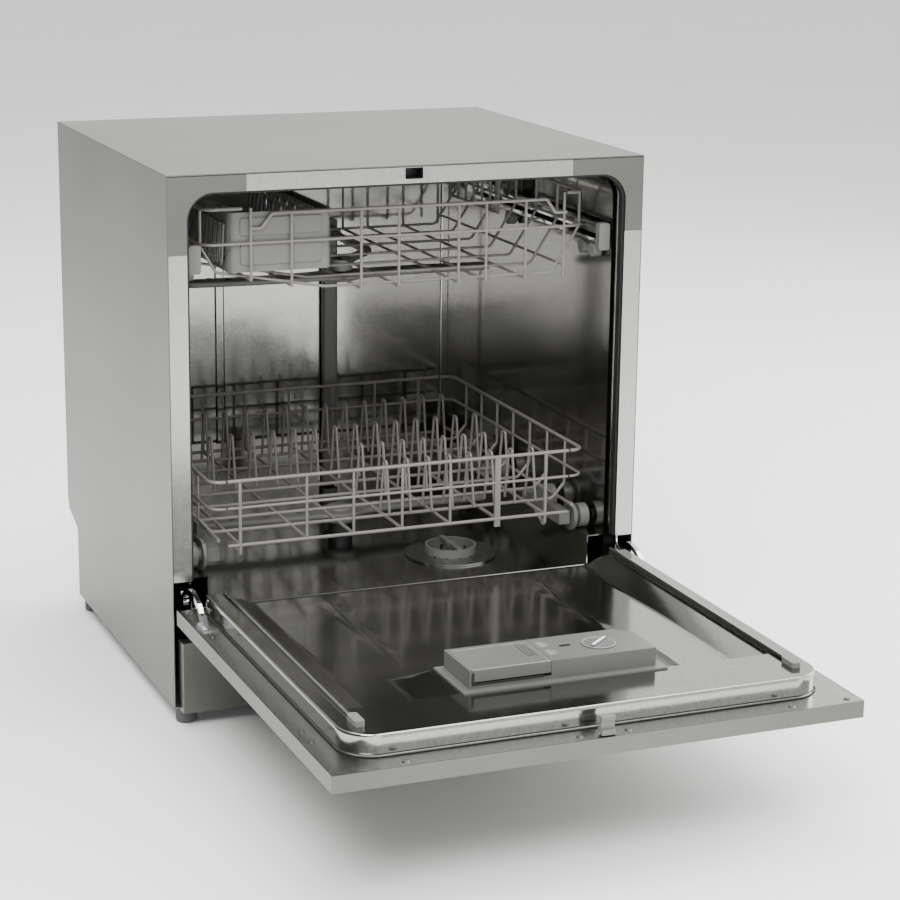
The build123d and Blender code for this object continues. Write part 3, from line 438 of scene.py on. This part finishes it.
def weld_and_point_up(item):
    """Merges doubled points, makes the faces agree, and turns them over if they look down on the whole."""
    shape = bmesh.new()
    shape.from_mesh(item.data)
    bmesh.ops.remove_doubles(shape, verts=shape.verts, dist=0.00002)
    bmesh.ops.recalc_face_normals(shape, faces=shape.faces)
    up = sum(f.normal.z * f.calc_area() for f in shape.faces)
    if up < 0:
        bmesh.ops.reverse_faces(shape, faces=shape.faces)
    shape.to_mesh(item.data)
    shape.free()
    item.data.polygons.foreach_set("use_smooth", [True] * len(item.data.polygons))


class DISHWASHER_OT_spray_arms(bpy.types.Operator):
    """Mould the two spray arms, crowned across and narrowing to their tips, with nozzles and hubs"""
    bl_idname = "dishwasher.spray_arms"
    bl_label = "Spray arms"

    def shape(self, name, node, body, values):
        """A closed arm with its nozzles and hub.

        The half width falls in a straight line to the tips and swells in a bell curve at the hub; both it and the
        thickness round off over the last few per cent. The section is an oval whose sine and cosine are raised to
        powers, which flattens it. The centre line bends as a sine wave.
        """
        low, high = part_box(node)
        reach = high.x
        middle = (low.y + high.y) / 2
        base = high.z - 9 * MM if node == "upper_spray_arm" else high.z - 9 * MM - 3 * MM  # under the shell
        along = np.sin(np.linspace(-np.pi / 2, np.pi / 2, 73)) * reach
        around = np.linspace(0, 2 * np.pi, 28, endpoint=False)
        aa, tt = np.meshgrid(along, around, indexing="ij")
        share = np.abs(aa) / reach
        width = values.width / 2 * (1 - (1 - values.tip) * share)
        width = width + 9 * MM * np.exp(-(aa / (24 * MM)) ** 2)
        width = width * np.sqrt(np.clip(1 - np.clip((share - 0.94) / 0.06, 0, 1) ** 2, 0.0, 1))
        thick = 4.4 * MM * np.sqrt(np.clip(1 - np.clip((share - 0.97) / 0.03, 0, 1) ** 2, 0.0, 1))
        side = np.sign(np.cos(tt)) * np.abs(np.cos(tt)) ** 0.75
        rise = np.sign(np.sin(tt)) * np.abs(np.sin(tt)) ** 0.6
        bend = 5 * MM * np.sin(aa / reach * np.pi)
        points = np.stack([aa, middle + bend + side * width, base + 4.5 * MM + rise * thick], -1)
        faces = grid_faces(len(along), len(around), wrap_columns=True)
        arm = mesh_object(name, points, faces, FINISHES["grey_plastic"])
        weld_and_point_up(arm)
        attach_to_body(arm, body)
        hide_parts(node)
        radii = np.array([4.2, 4.0, 2.6, 1.5, 1.3]) * MM
        rises = np.array([8.6, 9.0, 9.0, 8.3, 6.5]) * MM
        for n in range(7):
            x = (34 + 21 * n) * MM
            for sign in (-1, 1):
                y = middle + 5 * MM * math.sin(sign * x / reach * math.pi) + sign * (4 if n % 2 else -4) * MM
                ring = turned((sign * x, y), base, radii, rises, 16, 0.7)
                quads = grid_faces(5, 16, wrap_columns=True) + [list(range(64, 80))]
                nozzle = mesh_object(f"{name}_nozzle_{n}_{'ab'[sign > 0]}", ring, quads, FINISHES["dark_plastic"])
                nozzle.parent = arm
        hub_r = np.array([0.1, 9, 15, 17, 17.6, 17.2, 20, 21.5, 21.5, 0.1]) * MM
        hub_z = (np.array([12, 12, 11.4, 10.2, 8.6, 6, 2.5, 0, -6, -6]) if node == "lower_spray_arm"
                 else np.array([9.0, 9.0, 9, 9, 8.6, 6, 2.5, 0.4, 0, 0])) * MM
        ring = turned((0.0, middle), base, hub_r, hub_z, 40)
        hub = mesh_object(f"{name}_hub", ring, grid_faces(10, 40, wrap_columns=True), FINISHES["grey_plastic"])
        hub.parent = arm
        return arm

    def execute(self, context):
        values = context.scene.dishwasher_arms
        self.shape("upper_arm_shell", "upper_spray_arm", "upper_spray_arm", values)
        self.shape("lower_arm_shell", "lower_spray_arm", "lower_spray_arm", values)
        return {"FINISHED"}


def pill(name, centre, half, finish, square=0.35, turn=0.0, steps=(13, 24)):
    """A closed rounded block: each direction's cosine and sine are raised to a power, which squares the ball."""
    up = np.linspace(-np.pi / 2, np.pi / 2, steps[0])
    around = np.linspace(0, 2 * np.pi, steps[1], endpoint=False)
    uu, aa = np.meshgrid(up, around, indexing="ij")

    def power(value):
        return np.sign(value) * np.abs(value) ** square

    x = half[0] * power(np.cos(uu)) * power(np.cos(aa))
    y = half[1] * power(np.cos(uu)) * power(np.sin(aa))
    z = half[2] * power(np.sin(uu))
    cos, sin = math.cos(turn), math.sin(turn)
    points = np.stack([x * cos - y * sin, x * sin + y * cos, z], -1) + np.asarray(centre)
    item = mesh_object(name, points * MM, grid_faces(*steps, wrap_columns=True), FINISHES[finish])
    weld_and_point_up(item)
    return item


def attach(item, body):
    """Makes a piece move with a body."""
    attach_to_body(item, body)
    return item


def arc(centre, radius, start, stop, count=20):
    """Points of a circle's arc lying flat, in mm; angles in degrees."""
    turn = np.radians(np.linspace(start, stop, count))
    return np.stack([centre[0] + radius * np.cos(turn), centre[1] + radius * np.sin(turn),
                     np.full(count, centre[2])], -1)


class DISHWASHER_OT_dispenser_marks(bpy.types.Operator):
    """Mould the dispenser's ticks, its level window and the bar of its dial, with painted highlight lines round the
    dial and the lid
    """
    bl_idname = "dishwasher.dispenser_marks"
    bl_label = "Dispenser marks"

    def execute(self, context):
        top = 177.0
        for group, y in enumerate((-352.0, -376.0)):
            # the ticks are raised marks, coloured lighter than the dispenser as painted highlight
            for n in range(5):
                length = 5.5 if n % 2 else 3.5
                tick = pill(f"dispenser_tick_{group}_{n}", (-4.5 + 1.8 * (n % 2), y + 3.0 * n, top + 0.1),
                            (length, 0.55, 0.35), "dispenser_mark")
                attach(tick, "door")
        window = pill("level_window", (17, -356, top + 0.1), (6.5, 2.2, 0.5), "display_glass", 0.6)
        attach(window, "door")
        bar = pill("dial_bar", (51, -362, top + 3.2), (14.5, 1.5, 0.5), "lamp_lens", 0.35, math.radians(40))
        attach(bar, "rinse_cap")
        # a light ring round the dial: painted highlight on its edge
        rim = tube("dial_rim_highlight", arc((51, -362, top + 0.9), 16.4, 0, 360, 49)[:-1] * MM, 0.5 * MM, 8,
                   FINISHES["dispenser_mark"], closed=True)
        attach(rim, "rinse_cap")
        for name, centre, half in (("corner", (-95.6, -391.9, 168), (1.4, 0.5, 6.6)),
                                   ("foot", (-59, -391.9, 162.6), (38, 0.5, 1.1))):
            gap = pill(f"lid_gap_{name}", centre, half, "dark_plastic", 0.2)
            attach(gap, "door")
        # a light line round the lid's outline: painted highlight on its edge
        lid_highlight = tube("lid_rim_highlight", np.array([(-95.5, -391.0, top), (-95.5, -333, top), (-15, -333, top),
                                         (-15, -391.0, top)]) * MM, 0.35 * MM, 6, FINISHES["dispenser_mark"], True)
        attach(lid_highlight, "detergent_lid")
        return {"FINISHED"}


class DISHWASHER_OT_control_marks(bpy.types.Operator):
    """Set the smoked window, its lamps and the button marks in the control strip"""
    bl_idname = "dishwasher.control_marks"
    bl_label = "Control marks"

    def execute(self, context):
        face = 117.4
        window = pill("display_window", (-10, -462, face + 0.45), (49.6, 11.6, 0.4), "display_glass", 0.12, 0.0,
                      (15, 48))
        attach(window, "door")
        for n in range(6):
            lamp = pill(f"display_lamp_{n}", (-46 + 9 * n, -466, face + 0.05), (1.1, 1.1, 0.12), "lamp_lens", 1.0)
            attach(lamp, "door")
        for n in range(3):
            dash = pill(f"display_dash_{n}", (14 + 7 * n, -460, face + 0.05), (2.2, 0.45, 0.12), "lamp_lens", 0.5)
            attach(dash, "door")
        cap = 116.95
        marks = {
            "power": [arc((-120, -462, cap), 2.8, 125, 415), [(-120, -461.6, cap), (-120, -458.2, cap)]],
            "programme": [[(77.4, -462 + d, cap), (82.6, -462 + d, cap)] for d in (-2.0, 0.0, 2.0)],
            "start": [[(128.4, -464.6, cap), (128.4, -459.4, cap), (132.8, -462, cap), (128.4, -464.6, cap)]],
        }
        for name, lines in marks.items():
            for n, line in enumerate(lines):
                mark = tube(f"{name}_mark_{n}", np.array(line) * MM, 0.32 * MM, 6, FINISHES["display_glass"])
                attach(mark, f"{name}_button")
        return {"FINISHED"}


class DISHWASHER_OT_cutlery_tray(bpy.types.Operator):
    """Mould the tray's raised panels and the loops that keep the cutlery apart"""
    bl_idname = "dishwasher.cutlery_tray"
    bl_label = "Cutlery tray"

    def execute(self, context):
        for name, z, half in (("upper", 535.5, 9.5), ("lower", 505.0, 11.0)):
            panel = pill(f"tray_panel_{name}", (-135, 62.6, z), (46, 1.1, half), "grey_plastic", 0.12, 0.0, (15, 40))
            attach(panel, "upper_rack")
        for n in range(14):
            y = 78.0 + 16.0 * n
            line = [(-195.6, y - 4.5, 538), (-197.4, y - 4.5, 512), (-197.8, y - 4.0, 500), (-197.9, y, 494),
                    (-197.8, y + 4.0, 500), (-197.4, y + 4.5, 512), (-195.6, y + 4.5, 538)]
            hoop = tube(f"tray_hoop_{n}", smooth(line, 5) * MM, 1.3 * MM, 8, FINISHES["grey_plastic"])
            attach(hoop, "upper_rack")
        for n in range(16):
            y = 80.0 + 13.6 * n
            for side, x in (("left", -190.0), ("right", -80.0)):
                inward = 1 if side == "left" else -1
                line = [(x, y, 500), (x + inward * 2, y, 530), (x + inward * 6, y, 545), (x + inward * 12, y, 548),
                        (x + inward * 17, y, 543), (x + inward * 20, y, 528), (x + inward * 21, y, 496)]
                loop = tube(f"tray_loop_{side}_{n}", smooth(line, 5) * MM, 1.5 * MM, 8, FINISHES["grey_plastic"])
                attach(loop, "upper_rack")
        return {"FINISHED"}


def smooth(points, between):
    """A curve through the points: each span is a cubic whose ends follow their neighbours."""
    points = np.asarray(points, float)
    before = np.vstack([points[:1], points[:-1]])[:-1]
    after = np.vstack([points[1:], points[-1:]])[1:]
    here, there = points[:-1], points[1:]
    lines = []
    for t in np.linspace(0, 1, between, endpoint=False):
        lines.append(0.5 * (2 * here + (there - before) * t + (2 * before - 5 * here + 4 * there - after) * t ** 2
                            + (3 * here - before - 3 * there + after) * t ** 3))
    return np.vstack([np.stack(lines, 1).reshape(-1, 3), points[-1:]])


class DISHWASHER_OT_stage(bpy.types.Operator):
    """Lay a pale floor, set soft lights and the camera"""
    bl_idname = "dishwasher.stage"
    bl_label = "Stage"

    def execute(self, context):
        values = context.scene.dishwasher_stage
        look = context.scene.dishwasher_look
        material, tree, bsdf, place = start_material("painted_studio_floor", look.floor_hex, 0.0, 0.7)
        mottle = add_node(tree, "ShaderNodeTexNoise", None, {"Scale": 3.0, "Detail": 3.0}, {"Vector": place})
        tint(tree, bsdf, mottle.outputs["Fac"], look.floor_hex, "#F7F7F6")
        side = np.linspace(-14, 14, 3)
        xx, yy = np.meshgrid(side, side + 4, indexing="ij")
        floor = mesh_object("studio_floor", np.stack([xx, yy, 0 * xx - 0.0005], -1), grid_faces(3, 3), material)
        for face in floor.data.polygons:
            if face.normal.z < 0:
                face.flip()

        camera = bpy.data.cameras.new("camera")
        camera.lens = values.lens
        camera.sensor_width = 36
        item = bpy.data.objects.new("camera", camera)
        context.scene.collection.objects.link(item)
        yaw, pitch, roll = (math.radians(angle) for angle in (CAMERA_YAW, CAMERA_PITCH, CAMERA_ROLL))
        ahead = Vector((math.sin(yaw) * math.cos(pitch), math.cos(yaw) * math.cos(pitch), -math.sin(pitch)))
        turn = ahead.to_track_quat("-Z", "Y").to_matrix().to_4x4() @ Matrix.Rotation(roll, 4, "Z")
        item.matrix_world = Matrix.Translation(Vector(values.eye)) @ turn
        context.scene.camera = item

        def softbox(name, place_at, aim, size, power, colour="#FFFFFF"):
            """A square lamp turned towards a point."""
            lamp = bpy.data.lights.new(name, "AREA")
            lamp.shape = "RECTANGLE"
            lamp.size, lamp.size_y = size
            lamp.energy = power
            lamp.color = linear(colour)[:3]
            box = bpy.data.objects.new(name, lamp)
            context.scene.collection.objects.link(box)
            box.location = place_at
            box.rotation_euler = (Vector(aim) - Vector(place_at)).to_track_quat("-Z", "Y").to_euler()

        softbox("key_softbox", (-1.6, -2.2, 3.0), (0, 0, 0.3), (1.8, 1.8), values.key)
        softbox("top_softbox", (0.3, 0.2, 3.2), (0, 0, 0), (3.4, 3.4), values.key)
        softbox("right_softbox", (2.6, 0.4, 1.6), (0, 0, 0.4), (1.6, 2.4), values.key * 0.5)

        # dark board at the left that only the steel's reflections see
        flag_points = np.array([(-1.5, -2.5, 0.0), (-1.5, 1.8, 0.0), (-1.5, -2.5, 0.9), (-1.5, 1.8, 0.9)])
        black, *_ = start_material("black_felt_flag", "#0A0A0A", 0.0, 0.9)
        flag = mesh_object("studio_flag", flag_points.reshape(2, 2, 3), grid_faces(2, 2), black)
        flag.visible_camera = False
        flag.visible_shadow = False
        flag.visible_diffuse = False
        world = bpy.data.worlds.new("studio")
        world.use_nodes = True
        context.scene.world = world
        tree = world.node_tree
        sky = tree.nodes["Background"]
        where = tree.nodes.new("ShaderNodeTexCoord")
        parts = add_node(tree, "ShaderNodeSeparateXYZ", None, None, {"Vector": where.outputs["Generated"]})
        ramp = tree.nodes.new("ShaderNodeValToRGB")
        stops = ((0.0, "#7E7E7E"), (0.4, "#BDBDBD"), (0.65, "#FFFFFF"), (1.0, "#FFFFFF"))
        for stop, code in stops[1:-1]:
            ramp.color_ramp.elements.new(stop)
        for element, (stop, code) in zip(ramp.color_ramp.elements, stops):
            element.position = stop
            element.color = linear(code)
        across = add_node(tree, "ShaderNodeMapRange", None, {"From Min": -1.0, "From Max": 1.0},
                          {"Value": parts.outputs["X"]})
        tree.links.new(across.outputs["Result"], ramp.inputs["Fac"])
        tree.links.new(ramp.outputs["Color"], sky.inputs["Color"])
        sky.inputs["Strength"].default_value = values.sky
        return {"FINISHED"}


class DISHWASHER_PT_sidebar(bpy.types.Panel):
    """Lists the steps that dress and build the dishwasher"""
    bl_label = "Compact dishwasher"
    bl_idname = "DISHWASHER_PT_sidebar"
    bl_space_type = "VIEW_3D"
    bl_region_type = "UI"
    bl_category = "Dishwasher"

    def draw(self, context):
        for operator in STEPS:
            self.layout.operator(operator.bl_idname)


STEPS = (DISHWASHER_OT_finishes, DISHWASHER_OT_stage, DISHWASHER_OT_liner, DISHWASHER_OT_spray_arms,
         DISHWASHER_OT_dispenser_marks, DISHWASHER_OT_control_marks, DISHWASHER_OT_cutlery_tray)
SETTINGS = {"dishwasher_look": LookSettings, "dishwasher_liner": LinerSettings, "dishwasher_arms": ArmSettings,
            "dishwasher_stage": StageSettings}
CLASSES = (*SETTINGS.values(), *STEPS, DISHWASHER_PT_sidebar)


def register():
    for item in CLASSES:
        bpy.utils.register_class(item)
    for name, group in SETTINGS.items():
        setattr(bpy.types.Scene, name, PointerProperty(type=group))


def unregister():
    for name in SETTINGS:
        delattr(bpy.types.Scene, name)
    for item in reversed(CLASSES):
        bpy.utils.unregister_class(item)


def main():
    register()
    bpy.ops.dishwasher.finishes()
    bpy.ops.dishwasher.stage()
    bpy.ops.dishwasher.liner()
    bpy.ops.dishwasher.spray_arms()
    bpy.ops.dishwasher.dispenser_marks()
    bpy.ops.dishwasher.control_marks()
    bpy.ops.dishwasher.cutlery_tray()


if __name__ == "__main__":
    main()
